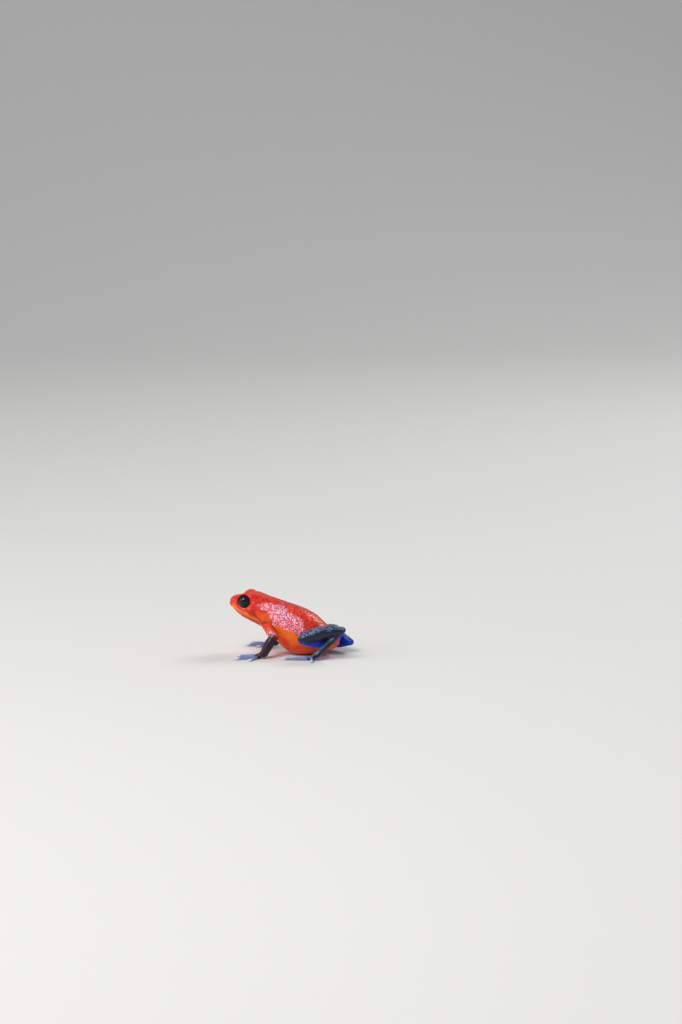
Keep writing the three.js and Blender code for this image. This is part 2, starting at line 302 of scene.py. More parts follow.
def digit_tubes(side, source, tips):
    """Each finger or toe as a tube, with its disc as a second one."""
    x, out, _ = POSE[side][source]
    made = []
    for i, (tip_x, tip_out) in enumerate(POSE[side][tips]):
        tip = np.array([tip_x, SIGN[side] * tip_out, DIGIT_HEIGHT])
        root = np.array([x, SIGN[side] * out, DIGIT_HEIGHT + 0.05])
        across = np.array([tip[1] - root[1], root[0] - tip[0], 0])
        across /= np.linalg.norm(across)
        spread = across * SIGN[side] * (i - 1.5) * DIGIT_BEND
        knuckle = (root + tip) / 2 + spread + np.array([0, 0, KNUCKLE_LIFT])
        made.append(Tube([root, knuckle, tip], DIGIT_RADII))
        toe = (tip - root) / np.linalg.norm(tip - root)
        disc = [tip - toe * DISC_START, tip + toe * DISC_END]
        made.append(Tube(disc, DISC_RADII, flat=DISC_FLATNESS))
    return made


# The distance field

VOXEL = 0.065
FIELD_LOW = np.array([-0.8, -10.2, -0.6])
FIELD_HIGH = np.array([23.8, 9.6, 12.6])
BAND = 14  # voxels of true distance on each side of the body's surface


def smooth_least(a, b, blend):
    """The smaller of two distances, with a fillet where they are alike."""
    near = np.maximum(blend - np.abs(a - b), 0) / blend
    return np.minimum(a, b) - near * near * blend / 4


class Field:
    """Distances to the flesh on a grid of voxels."""

    def __init__(self):
        self.size = np.ceil((FIELD_HIGH - FIELD_LOW) / VOXEL).astype(int)
        self.values = np.full(self.size, BAND * VOXEL, np.float32)

    def window(self, low, high):
        """The part of the grid inside a box, and the places of its voxels."""
        start = np.clip(np.floor((low - FIELD_LOW) / VOXEL).astype(int), 0, self.size)
        end = np.clip(np.ceil((high - FIELD_LOW) / VOXEL).astype(int) + 1, 0, self.size)
        axes = [FIELD_LOW[k] + VOXEL * np.arange(start[k], end[k]) for k in range(3)]
        points = np.stack(np.meshgrid(*axes, indexing="ij"), -1).astype(np.float32)
        return tuple(slice(a, b) for a, b in zip(start, end)), points

    def add(self, shape, blend):
        """Joins a shape, with a fillet of about blend millimetres."""
        where, points = self.window(*shape.box(blend + 2 * VOXEL))
        self.values[where] = smooth_least(self.values[where], shape.distance(points), blend)

    def cut(self, shape, blend):
        """Takes a shape away, with a rounded edge."""
        where, points = self.window(*shape.box(blend + 2 * VOXEL))
        self.values[where] = -smooth_least(-self.values[where], shape.distance(points), blend)

    def at(self, points):
        """The distance at free places, between the voxels."""
        spot = np.clip((points - FIELD_LOW) / VOXEL, 0, self.size - 1.001)
        i = spot.astype(int)
        w = spot - i
        total = 0
        for corner in range(8):
            step = np.array([corner & 1, corner >> 1 & 1, corner >> 2])
            share = np.prod(np.where(step, w, 1 - w), axis=-1)
            j = i + step
            total = total + share * self.values[j[..., 0], j[..., 1], j[..., 2]]
        return total

    def outward(self, points):
        """The direction straight out of the flesh."""
        reach = 0.12
        slope = [self.at(points + axis * reach) - self.at(points - axis * reach) for axis in np.eye(3)]
        slope = np.stack(slope, -1)
        return slope / np.maximum(np.linalg.norm(slope, axis=-1, keepdims=True), 1e-6)

    def settle(self, points):
        """Moves places near the flesh on to its surface."""
        points = np.array(points, float)
        for _ in range(6):
            points = points - self.outward(points) * self.at(points)[..., None]
        return points

    def mesh(self):
        grid = openvdb.FloatGrid(BAND * VOXEL)
        grid.copyFromArray(self.values)
        points, quads = grid.convertToQuads(isovalue=0.0)
        return points * VOXEL + FIELD_LOW, quads[:, ::-1]


class Ball:
    """A ball, as a field of distances."""

    def __init__(self, centre, radius):
        self.centre, self.radius = np.array(centre, float), radius

    def box(self, margin):
        reach = self.radius + margin
        return self.centre - reach, self.centre + reach

    def distance(self, points):
        return np.linalg.norm(points - self.centre, axis=-1) - self.radius


class Ring(Ball):
    """A ring of thick wire, turned to face a direction."""

    def __init__(self, centre, facing, radius, wire):
        super().__init__(centre, radius + wire)
        self.facing, self.ring, self.wire = facing / np.linalg.norm(facing), radius, wire

    def distance(self, points):
        off = points - self.centre
        along = off @ self.facing
        across = np.sqrt(np.maximum((off**2).sum(-1) - along**2, 0))
        return np.hypot(across - self.ring, along) - self.wire


class Cone(Ball):
    """The part of a ball inside a cone from its centre."""

    def __init__(self, centre, facing, radius, angle):
        super().__init__(centre, radius)
        self.facing, self.angle = facing / np.linalg.norm(facing), angle

    def distance(self, points):
        off = points - self.centre
        far = np.linalg.norm(off, axis=-1)
        turn = np.arccos(np.clip(off @ self.facing / np.maximum(far, 1e-6), -1, 1)) - self.angle
        return np.maximum(far * np.sin(np.clip(turn, -np.pi / 2, np.pi / 2)), far - self.radius)


def body_field(field):
    """Fills the field with the true distance to the loft of head and trunk."""
    points, fans, quads = body_loft()
    grid = openvdb.FloatGrid.createLevelSetFromPolygons(
        ((points - FIELD_LOW) / VOXEL).astype(np.float32),
        fans.astype(np.uint32),
        quads.astype(np.uint32),
        halfWidth=BAND,
    )
    grid.copyToArray(field.values)
    field.values *= VOXEL


# The head

def on_flank(distance, over, side, out=0.0):
    """The place on the body's side at a distance from the snout and a height over the axis."""
    top, widest, bottom, half = body_at(angle_of(np.float64(distance)))
    height = top - widest if over > widest else widest - bottom
    level = min(1.0, abs(over - widest) / height)
    reach = half * (1 - level**SQUARENESS) ** (1 / SQUARENESS) + out
    return on_body(np.float64(distance), SIGN[side] * reach, over)


def mouth_path(lift, out):
    """The line of the mouth from one corner round the snout to the other."""
    halves = [[on_flank(d, over + lift, side, out) for d, over in LIP_LINE] for side in SIGN]
    front = on_body(np.float64(LIP_FRONT[0] - 2 * out), 0, LIP_FRONT[1] + lift)
    return halves[0] + [front] + halves[1][::-1]


def eye_middle(side):
    return on_body(np.float64(EYE_DISTANCE), SIGN[side] * EYE_SIDE, EYE_OVER)


def eye_look(side):
    back, out, up = EYE_LOOK
    look = np.array([back, SIGN[side] * out, up])
    return look / np.linalg.norm(look)


def add_brows(field, side):
    """The brow, and the bulge that will hold the eye."""
    brow = on_body(np.float64(BROW_DISTANCE), SIGN[side] * BROW_SIDE, BROW_OVER)
    field.add(Ball(brow, BROW_RADIUS), 0.9)
    middle = eye_middle(side) - np.array([0, 0, LID_SINK])
    outer, inner = LID_DEPTHS
    field.add(Ball(middle - eye_look(side) * outer, LID_RADIUS), 0.5)
    field.add(Ball(middle - eye_look(side) * inner, LID_RADIUS + 0.04), 0.2)


def open_lids(field, side):
    """The edge of the lids, the opening between them and the socket."""
    middle, look = eye_middle(side), eye_look(side)
    over_eye = EYE_RADIUS + 0.1
    rim = middle + look * math.cos(LID_OPENING) * over_eye
    field.add(Ring(rim, look, math.sin(LID_OPENING) * over_eye + 0.05, LID_EDGE), 0.3)
    field.cut(Cone(middle, look, 2 * EYE_RADIUS, LID_OPENING), 0.08)
    field.cut(Ball(middle, EYE_RADIUS + 0.01), 0.02)


# Radii from one corner of the mouth round the snout to the other
UPPER_LIP = (0.18, 0.29, 0.31, 0.29, 0.1, 0.29, 0.31, 0.29, 0.18)
LOWER_LIP = (0.12, 0.22, 0.24, 0.15, 0.02, 0.15, 0.24, 0.22, 0.12)
MOUTH_GROOVE = (0.03, 0.07, 0.075, 0.075, 0.075, 0.07, 0.03)
UPPER_LIFT, LOWER_LIFT = 0.36, -0.28  # from the line of the mouth to the middle of each lip


def shape_mouth(field):
    field.add(Tube(mouth_path(UPPER_LIFT, -0.16), UPPER_LIP, steps=6), 0.2)
    field.add(Tube(mouth_path(LOWER_LIFT, -0.2), LOWER_LIP, steps=6), 0.2)
    field.cut(Tube(field.settle(mouth_path(0.02, 0.05)), MOUTH_GROOVE, steps=5), 0.1)


NOSTRIL_RADIUS = 0.13
CHEEK = (1.75, 0.35)  # the hollow between nostril and eye
CHEEK_RADIUS = 0.75


def shape_nose(field, side):
    """The swelling over the nostril and the hollow behind it."""
    field.add(Ball(on_flank(NOSTRIL[0] + 0.12, NOSTRIL[1] + 0.22, side, -0.4), 0.5), 0.3)
    field.cut(Ball(on_flank(*CHEEK, side, CHEEK_RADIUS), CHEEK_RADIUS), 0.35)


def cut_nostril(field, side):
    field.cut(Ball(field.settle(on_flank(*NOSTRIL, side)), NOSTRIL_RADIUS), 0.07)


EARDRUM_RADIUS = 0.42
EARDRUM_BALL = 1.53  # radius of the ball that hollows the ear drum
EARDRUM_HOLLOW = 0.03  # its depth


def shape_eardrum(field, side):
    """A shallow round hollow with a fine groove round it."""
    middle = field.settle(on_flank(*EARDRUM, side))
    facing = field.outward(middle)
    field.cut(Ball(middle + facing * (EARDRUM_BALL - EARDRUM_HOLLOW), EARDRUM_BALL), 0.12)
    field.cut(Ring(middle, facing, EARDRUM_RADIUS, 0.05), 0.06)


# Creases: places on the flank as (distance, height over the axis), then a crease's depth and width
CREASES = (
    (((4.7, -0.35), (5.6, -0.42), (6.5, -0.4), (7.15, -0.75), (7.45, -1.35)), 0.1, 0.22),
    (((7.62, -1.5), (7.75, -1.1), (8.25, -0.72), (8.75, -0.3), (9.25, 0.25)), 0.16, 0.2),
    (((9.35, -0.2), (9.75, -0.7), (10.3, -1.1), (10.9, -1.7), (11.5, -2.3)), 0.12, 0.22),
)
NECK_LOBE = (7.75, -0.15)
NECK_RADIUS = 1.0


def add_neck(field, side):
    """The soft lobe behind the corner of the mouth."""
    field.add(Ball(on_flank(*NECK_LOBE, side, 0.2 - NECK_RADIUS), NECK_RADIUS), 0.4)


def add_creases(field, side):
    """Cuts the creases, and returns their tubes for the colours."""
    made = []
    for places, depth, width in CREASES:
        path = field.settle([on_flank(d, over, side, 0.3) for d, over in places])
        made.append(Tube(path, (0.01, depth, depth, depth * 0.7, 0.01), steps=8))
        field.cut(made[-1], width)
    return made


LIMB_FILLETS = {
    "upper_arm": 0.28,
    "forearm": 0.3,
    "palm": 0.3,
    "thigh": 0.6,
    "shank": 0.2,
    "tarsus": 0.2,
    "sole": 0.3,
}
DIGIT_FILLET = 0.16


def add_limbs(field, side):
    tubes = limb_tubes(side)
    for name, fillet in LIMB_FILLETS.items():
        field.add(tubes[name], fillet)
    for source, tips in (("palm", "fingers"), ("sole", "toes")):
        for digit in digit_tubes(side, source, tips):
            field.add(digit, DIGIT_FILLET)
    return tubes


def flesh():
    """The whole frog as one field, the body alone as another, and the tubes of the limbs."""
    field = Field()
    body_field(field)
    for side in SIGN:
        shape_nose(field, side)
        add_brows(field, side)
    shape_mouth(field)
    for side in SIGN:
        cut_nostril(field, side)
        shape_eardrum(field, side)
        add_neck(field, side)
    bare = Field()
    bare.values[:] = field.values
    tubes = {}
    for side in SIGN:
        tubes[side] = add_limbs(field, side)
    for side in SIGN:
        tubes[side]["creases"] = add_creases(field, side)
        open_lids(field, side)
    return field, bare, tubes


# The skin's surface

CELL_PRIMES = np.array([73856093, 19349663, 83492791])  # they scatter the points of the cells


def cells(points, size, seed):
    """Distance to the nearest of scattered points, in sizes."""
    spot = points / size
    base = np.floor(spot).astype(np.int64)
    nearest = np.full(len(points), np.inf)
    for corner in range(27):
        cell = base + np.array([corner % 3, corner // 3 % 3, corner // 9]) - 1
        code = np.bitwise_xor.reduce(cell * CELL_PRIMES, axis=1) ^ seed * 2654435761
        code = (code ^ code >> 13) * 1274126177 & 0x7FFFFFFFFFFF
        parts = [(code >> shift & 1023) / 1023 for shift in (3, 14, 25)]
        away = np.linalg.norm(spot - cell - np.stack(parts, -1) * 0.8 - 0.1, axis=-1)
        nearest = np.minimum(nearest, away)
    return nearest


def waves(points, size, seed):
    """Slow smooth noise between about -1 and 1."""
    rng = np.random.default_rng(seed)
    total = np.zeros(len(points))
    for _ in range(9):
        way = rng.normal(size=3)
        way *= rng.uniform(0.7, 1.5) / np.linalg.norm(way)
        total += np.sin(points @ way * 2 * np.pi / size + rng.uniform(0, 2 * np.pi))
    return total / 3.2


def step(low, high, values):
    """Goes smoothly from 0 at low to 1 at high."""
    t = np.clip((values - low) / (high - low), 0, 1)
    return t * t * (3 - 2 * t)


MASK_REACH = 1.5  # how far from a tube its masks may reach
FAR = 4.0  # stands for every distance beyond that


def nearest_of(shapes, points):
    """Distances to the nearest of several tubes, worked out only near them."""
    best = np.full(len(points), FAR)
    for shape in shapes:
        low, high = shape.box(MASK_REACH)
        near = np.flatnonzero(((points > low) & (points < high)).all(axis=1))
        best[near] = np.minimum(best[near], shape.distance(points[near]))
    return best


def join(masks, name, values):
    """Adds to a mask, which keeps the larger value at each vertex."""
    masks[name] = np.maximum(masks.get(name, 0.0), values)


def leg_masks(masks, points, normals, side, tubes, trunk, wander):
    """Blue-black legs, with bright blue where they face inwards and under the thigh."""
    parts = ("thigh", "shank", "tarsus", "sole")
    thigh, shank, tarsus, sole = [nearest_of([tubes[name]], points) for name in parts]
    toes = nearest_of(digit_tubes(side, "sole", "toes"), points)
    leg = np.minimum.reduce([thigh, shank, tarsus, sole, toes])
    join(masks, "leg", step(-0.25, 0.25, np.minimum(trunk, 1.5) - leg + 0.15 * wander))
    join(masks, "hand", step(-0.1, 0.3, np.minimum(np.minimum(tarsus, sole), 1.0) - toes))
    under = step(-0.1, -0.55, normals[:, 2]) * step(0.0, 0.25, shank - thigh) * step(0.3, 0.0, thigh)
    inward = step(-0.2, 0.5, -SIGN[side] * normals[:, 1] - 0.5 * normals[:, 2] + 0.2 * wander)
    join(masks, "inner", np.maximum(under, inward * step(0.2, -0.05, np.minimum(shank, tarsus))))


def arm_masks(masks, points, side, tubes, trunk, wander):
    """Red upper arms, painted glints on the elbows, dark forearms and pale blue hands."""
    parts = ("upper_arm", "forearm", "palm")
    upper, arm, palm = [nearest_of([tubes[name]], points) for name in parts]
    fingers = nearest_of(digit_tubes(side, "palm", "fingers"), points)
    others = np.minimum(np.minimum(upper, trunk), 1.2)
    join(masks, "arm", step(-0.1, 0.5, np.minimum(trunk, 1.0) - upper + 0.1 * wander))
    join(masks, "forearm", step(-0.12, 0.12, others - np.minimum(arm, palm) + 0.06 * wander))
    join(masks, "hand", step(-0.1, 0.35, np.minimum(np.minimum(arm, palm), 1.0) - fingers))
    # Painted glints: pale highlights of the light on the elbow
    elbow = joint(side, "elbow") + np.array([-0.3, 0.0, 0.3])
    join(masks, "elbow", step(1.25, 0.6, np.linalg.norm(points - elbow, axis=1) + 0.15 * wander))


LIP_BAND = (0.36, 0.4, 0.42, 0.34, 0.05, 0.34, 0.42, 0.4, 0.36)


def mouth_masks(masks, points, wander):
    """The orange band of the upper lip, a painted highlight, and the dark line under it, painted shade.
    """
    # The lip band: a painted highlight along the upper lip
    band = nearest_of([Tube(mouth_path(UPPER_LIFT, -0.05), LIP_BAND, steps=6)], points)
    masks["lip"] = step(0.12, -0.12, band + 0.04 * wander) * step(0.4, 1.3, points[:, 0])
    # Painted shade along the line of the mouth
    line = nearest_of([Tube(mouth_path(0.0, 0.0), (0.02, 0.02), steps=6)], points)
    join(masks, "painted_shade_and_eardrum", step(0.16, 0.04, line))


def disc_masks(masks, points, side):
    """The pale discs of fingers and toes."""
    for tips in ("fingers", "toes"):
        for x, out in POSE[side][tips]:
            disc = np.array([x, SIGN[side] * out, DIGIT_HEIGHT])
            join(masks, "tip", step(0.62, 0.34, np.linalg.norm(points - disc, axis=1)))


def head_masks(masks, points, side, creases):
    """The darker ear drum, painted shade in the folds, and a painted highlight on the lower lid's pale
    edge.
    """
    # A darker mottle round the ear drum
    blotch = waves(points, 0.9, 4)
    away = np.linalg.norm(points - on_flank(*EARDRUM, side), axis=1)
    join(masks, "painted_shade_and_eardrum", 0.75 * step(0.85, 0.25, away + 0.3 * blotch))
    # Painted shade along the creases
    join(masks, "painted_shade_and_eardrum", 0.7 * step(0.17, 0.0, nearest_of(creases, points)))
    # A painted highlight: a pale line along the edge of the lower lid
    off = points - eye_middle(side)
    rim = step(EYE_RADIUS + 0.18, EYE_RADIUS + 0.06, np.linalg.norm(off, axis=1))
    join(masks, "rim", rim * step(-0.5, -0.95, off[:, 2]))


# Along the body: distance behind the snout, then the lower and upper edge of the painted glints on the
# flank
PAINTED_GLINT_EDGES = (
    (5.3, 1.75, 2.4),
    (6.2, 1.85, 2.7),
    (7.6, 1.2, 2.9),
    (8.8, 0.55, 3.1),
    (9.6, -0.2, 3.2),
    (11.5, -0.45, 3.2),
    (13.3, -0.4, 3.0),
    (14.5, -0.4, 2.5),
    (15.6, -0.2, 1.6),
)


def trunk_masks(masks, points, wander):
    """The orange belly, the painted glints on the flanks and the flecks on the back."""
    away = points - np.array([0, 0, SNOUT_HEIGHT])
    cos, sin = math.cos(BODY_PITCH), math.sin(BODY_PITCH)
    along = away[:, 0] * cos - away[:, 2] * sin
    over = away[:, 0] * sin + away[:, 2] * cos
    places, lows, highs = np.array(PAINTED_GLINT_EDGES).T
    above = over - np.interp(along, places, lows) + 0.3 * wander
    below = np.interp(along, places, highs) - over + 0.3 * wander
    # Where glints of the light on the wet flank are painted into the colour: a painted highlight
    masks["painted_sheen"] = step(-0.5, 0.5, above) * step(-0.6, 0.8, below)
    masks["painted_sheen"] *= step(4.7, 6.0, along) * step(16.8, 14.8, along)
    masks["back"] = step(-0.4, 0.3, above) * step(3.9, 5.2, along)
    belly = step(0.9, -0.5, above) * step(8.2, 10.5, along - 0.5 * over)
    neck = step(5.2, 6.6, along) * step(10.0, 8.8, along) * step(1.5, 0.2, over + 0.3 * wander)
    masks["belly"] = np.maximum(belly, 0.5 * neck) * (1 - 0.85 * masks["arm"])
    masks["low"] = step(-1.2, -3.4, over + 0.5 * wander) * step(7.5, 10.0, along)


def skin_masks(points, normals, bare, tubes):
    """Where each colour of the skin lies, from 0 to 1 at each vertex."""
    wander = waves(points, 2.2, 1)
    trunk = bare.at(points)
    masks = {}
    for side in SIGN:
        leg_masks(masks, points, normals, side, tubes[side], trunk, wander)
        arm_masks(masks, points, side, tubes[side], trunk, wander)
        disc_masks(masks, points, side)
        head_masks(masks, points, side, tubes[side]["creases"])
    trunk_masks(masks, points, wander)
    mouth_masks(masks, points, wander)
    # Upward faces, for the legs' pale speckles: partly pattern, partly painted glints of light from
    # above
    masks["top"] = step(0.1, 0.7, normals[:, 2] + 0.15 * wander)
    return masks


GRANULE, FINE_GRANULE = 0.42, 0.26  # the room of one granule
GRANULE_RADIUS = 0.75  # as a share of its room
GRANULE_LEVEL = 0.4  # the share of a granule's height that lies under the smooth skin
GRANULE_HEIGHT, FINE_HEIGHT, FOLD_HEIGHT = 0.045, 0.012, 0.02


def domes(points, size, seed):
    """The height of scattered granules at each vertex, as a share of the full height."""
    dome = np.maximum(0, 1 - (cells(points, size, seed) / GRANULE_RADIUS) ** 2)
    return dome - GRANULE_LEVEL


def granules(points, masks):
    """How far each vertex is pushed out by the granules and slow folds of the skin."""
    rough = 0.35 + 0.65 * np.maximum(masks["painted_sheen"], masks["back"])
    smooth = np.maximum.reduce([masks["hand"], masks["lip"], masks["rim"], masks["forearm"] * 0.6])
    height = domes(points, GRANULE, 5) * GRANULE_HEIGHT * rough
    height = height + domes(points, FINE_GRANULE, 9) * FINE_HEIGHT
    height = height + waves(points, 1.7, 3) * FOLD_HEIGHT
    return height * (1 - 0.8 * smooth)


def new_object(name, data):
    made = bpy.data.objects.new(name, data)
    bpy.context.scene.collection.objects.link(made)
    return made


def mesh_object(name, points, faces):
    """A smooth mesh, in metres in the frame, from places in the frog's own millimetres."""
    mesh = bpy.data.meshes.new(name)
    mesh.vertices.add(len(points))
    mesh.vertices.foreach_set("co", ((points + SHIFT) * MM).astype(np.float32).ravel())
    mesh.loops.add(faces.size)
    mesh.loops.foreach_set("vertex_index", faces.astype(np.int32).ravel())
    mesh.polygons.add(len(faces))
    mesh.polygons.foreach_set("loop_start", np.arange(0, faces.size, faces.shape[1], dtype=np.int32))
    mesh.polygons.foreach_set("use_smooth", np.ones(len(faces), bool))
    mesh.update(calc_edges=True)
    mesh.validate()
    return new_object(name, mesh)


SMOOTHING = (0.5, -0.52)  # a step that smooths and shrinks, then one that swells it again
SMOOTHING_ROUNDS = 2


def relaxed(points, faces):
    """Evens out the steps that the voxels leave."""
    edges = np.concatenate([faces[:, [a, (a + 1) % 4]] for a in range(4)])
    count = np.bincount(edges[:, 0], minlength=len(points))[:, None]
    for weight in SMOOTHING * SMOOTHING_ROUNDS:
        ends = points[edges[:, 1]]
        total = np.stack([np.bincount(edges[:, 0], ends[:, k], len(points)) for k in range(3)], 1)
        points = points + weight * (total / np.maximum(count, 1) - points)
    return points


def inside_box(points):
    """The same places, moved on to the solids' box where they pass it."""
    low, high = [np.array(corner) / MM - SHIFT for corner in (cad_low, cad_high)]
    return np.clip(points, low, high)


def build_skin():
    """The skin, with its granules and with the masks of its colours, kept inside the solids' box."""
    field, bare, tubes = flesh()
    points, faces = field.mesh()
    points = relaxed(points, faces)
    normals = field.outward(points)
    masks = skin_masks(points, normals, bare, tubes)
    grounded = step(0.0, 0.12, points[:, 2])
    points = inside_box(points + normals * (granules(points, masks) * grounded)[:, None])
    skin = mesh_object("skin", points, faces)
    for name, values in masks.items():
        layer = skin.data.attributes.new(name, "FLOAT", "POINT")
        layer.data.foreach_set("value", values.astype(np.float32))
    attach(skin, "root")
    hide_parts(*[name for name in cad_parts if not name.startswith("eye")])
    return skin


# Materials

def node(tree, kind, links=(), **values):
    """A shader node with its inputs linked or set by name."""
    made = tree.nodes.new(kind)
    for name, value in values.items():
        setattr(made, name, value)
    for key, value in dict(links).items():
        if isinstance(value, bpy.types.NodeSocket):
            tree.links.new(value, made.inputs[key])
        else:
            made.inputs[key].default_value = value
    return made


def mask(tree, name):
    """The skin's mask of a name, as a socket."""
    return node(tree, "ShaderNodeAttribute", attribute_name=name).outputs["Fac"]


def maths(tree, operation, a, b=0.0):
    return node(tree, "ShaderNodeMath", {0: a, 1: b}, operation=operation).outputs[0]


def times(tree, a, b):
    return maths(tree, "MULTIPLY", a, b)


def plus(tree, a, b):
    return maths(tree, "ADD", a, b)


def between(tree, value, low, high):
    """Goes smoothly from 0 at low to 1 at high."""
    if low > high:
        turned = between(tree, value, high, low)
        return maths(tree, "SUBTRACT", 1.0, turned)
    links = {"Value": value, "From Min": low, "From Max": high}
    made = node(tree, "ShaderNodeMapRange", links, interpolation_type="SMOOTHSTEP")
    return made.outputs["Result"]


def mixed(tree, share, a, b):
    """A colour between two others, each given as a colour or a socket."""
    a, b = [value if isinstance(value, bpy.types.NodeSocket) else (*value, 1) for value in (a, b)]
    # a mix node's colours are its inputs 6 and 7 and its output 2
    return node(tree, "ShaderNodeMix", {0: share, 6: a, 7: b}, data_type="RGBA").outputs[2]


FLECK_EDGE = 0.12  # over which a fleck fades out, as a share of its room


def flecks_group():
    """Scattered flecks. Size is the room of one fleck, Share how many of the rooms hold one."""
    tree = bpy.data.node_groups.new("flecks", "ShaderNodeTree")
    for name, kind, default in (
        ("Place", "NodeSocketVector", None),
        ("Size", "NodeSocketFloat", 1.0),
        ("Radius", "NodeSocketFloat", 0.25),
        ("Share", "NodeSocketFloat", 0.5),
    ):
        socket = tree.interface.new_socket(name, in_out="INPUT", socket_type=kind)
        if default is not None:
            socket.default_value = default
    tree.interface.new_socket("Mask", in_out="OUTPUT", socket_type="NodeSocketFloat")
    start = tree.nodes.new("NodeGroupInput").outputs
    scale = maths(tree, "DIVIDE", 1.0, start["Size"])
    place = start["Place"]
    rooms = node(tree, "ShaderNodeTexVoronoi", {"Vector": place, "Scale": scale, "Randomness": 0.9})
    fine = times(tree, scale, 2.2)
    wobble = node(tree, "ShaderNodeTexNoise", {"Vector": place, "Scale": fine})
    shift = times(tree, maths(tree, "SUBTRACT", wobble.outputs["Fac"], 0.5), 0.8)
    away = plus(tree, rooms.outputs["Distance"], shift)
    chance = node(tree, "ShaderNodeSeparateColor", {"Color": rooms.outputs["Color"]}).outputs["Red"]
    radius = times(tree, start["Radius"], plus(tree, 0.6, times(tree, chance, 0.9)))
    edge = maths(tree, "DIVIDE", maths(tree, "SUBTRACT", radius, away), FLECK_EDGE)
    inside = node(tree, "ShaderNodeClamp", {"Value": edge}).outputs[0]
    wanted = maths(tree, "LESS_THAN", chance, start["Share"])
    end = tree.nodes.new("NodeGroupOutput")
    tree.links.new(times(tree, inside, wanted), end.inputs["Mask"])
    return tree


# Kinds of fleck: room in millimetres, radius as a share of the room, share of the rooms
# The glints below are painted highlights: pale dots that stand for the light on wet granules
PAINTED_GLINTS = (0.3, 0.64, 0.94)
FINE_PAINTED_GLINTS = (0.17, 0.46, 0.7)
DARK_FLECKS = (0.39, 0.38, 0.78)
# Pale speckles on the legs, partly their pattern and partly painted glints
LEG_SPECKLES_AND_GLINTS = (0.19, 0.52, 0.85)
ELBOW_PAINTED_GLINTS = (0.24, 0.55, 0.85)


def scattered(tree, group, place, kind):
    size, radius, share = kind
    made = node(tree, "ShaderNodeGroup", node_tree=group)
    tree.links.new(place, made.inputs["Place"])
    for name, value in (("Size", size), ("Radius", radius), ("Share", share)):
        made.inputs[name].default_value = value
    return made.outputs["Mask"]


RED = (0.68, 0.012, 0.004)
BRIGHT_RED = (0.78, 0.04, 0.005)
# Painted shade in the creases and along the mouth's line, and the darker ear drum
DEEP_RED = (0.26, 0.003, 0.003)
ORANGE = (0.9, 0.15, 0.004)
LOW_ORANGE = (0.82, 0.055, 0.003)
# The painted highlight of the upper lip
LIP_HIGHLIGHT_ORANGE = (0.92, 0.13, 0.006)
# Painted glints on the flank, pale pink and rose, in place of the light's reflection on wet skin
PAINTED_GLINT_PINK = (0.97, 0.6, 0.7)
PAINTED_GLINT_ROSE = (0.9, 0.2, 0.28)
# A painted highlight along the lower lid's edge
LID_PAINTED_HIGHLIGHT = (0.75, 0.35, 0.35)
FLANK_FLECK = (0.11, 0.05, 0.3)
BACK_FLECK = (0.06, 0.004, 0.025)
# A painted highlight on the elbow
PAINTED_ELBOW_LILAC = (0.75, 0.66, 0.85)
BLUE_BLACK = (0.004, 0.007, 0.03)
BRIGHT_BLUE = (0.003, 0.05, 0.66)
# The legs' pale speckles, partly pattern and partly painted glints
SPECKLE_AND_GLINT_BLUE = (0.2, 0.34, 0.56)
PURPLE_BLACK = (0.009, 0.003, 0.012)
PURPLE_RED = (0.045, 0.005, 0.02)
HAND_BLUE = (0.2, 0.28, 0.55)
DISC_PALE = (0.6, 0.66, 0.82)


def noise_at(tree, place, scale, low, high):
    """A slow mottle, from 0 to 1."""
    made = node(tree, "ShaderNodeTexNoise", {"Vector": place, "Scale": scale, "Detail": 3.0})
    return between(tree, made.outputs["Fac"], low, high)


def trunk_colour(tree, place, group):
    """Red back with dark flecks, painted glints and violet flecks on the flank, orange belly."""
    colour = mixed(tree, noise_at(tree, place, 0.8, 0.35, 0.68), RED, BRIGHT_RED)
    belly = mixed(tree, mask(tree, "low"), ORANGE, LOW_ORANGE)
    blush = times(tree, noise_at(tree, place, 2.4, 0.45, 0.7), 0.55)
    colour = mixed(tree, mask(tree, "belly"), colour, mixed(tree, blush, belly, BRIGHT_RED))
    # Painted highlights: pale pink glints where the flank's wet granules would reflect the light
    glint = scattered(tree, group, place, PAINTED_GLINTS)
    glint = maths(tree, "MAXIMUM", glint, scattered(tree, group, place, FINE_PAINTED_GLINTS))
    ragged = plus(tree, noise_at(tree, place, 1.3, 0.3, 0.7), noise_at(tree, place, 5.0, 0.3, 0.7))
    patch = plus(tree, mask(tree, "painted_sheen"), times(tree, ragged, 0.5))
    wanted = between(tree, patch, 0.85, 1.3)
    painted_glint_colour = mixed(tree, noise_at(tree, place, 2.8, 0.4, 0.62), PAINTED_GLINT_PINK, PAINTED_GLINT_ROSE)
    colour = mixed(tree, times(tree, times(tree, glint, wanted), 0.9), colour, painted_glint_colour)
    fleck = mixed(tree, mask(tree, "painted_sheen"), BACK_FLECK, FLANK_FLECK)
    dark = scattered(tree, group, place, DARK_FLECKS)
    return mixed(tree, times(tree, dark, mask(tree, "back")), colour, fleck)


def arm_colour(tree, place):
    return mixed(tree, noise_at(tree, place, 1.6, 0.4, 0.7), PURPLE_BLACK, PURPLE_RED)


def leg_colour(tree, place, group):
    """Blue-black, pale speckles on top, partly pattern, partly painted glints, and bright blue on the
    inner faces.
    """
    pale = times(tree, scattered(tree, group, place, LEG_SPECKLES_AND_GLINTS), mask(tree, "top"))
    colour = mixed(tree, pale, BLUE_BLACK, SPECKLE_AND_GLINT_BLUE)
    return mixed(tree, mask(tree, "inner"), colour, BRIGHT_BLUE)


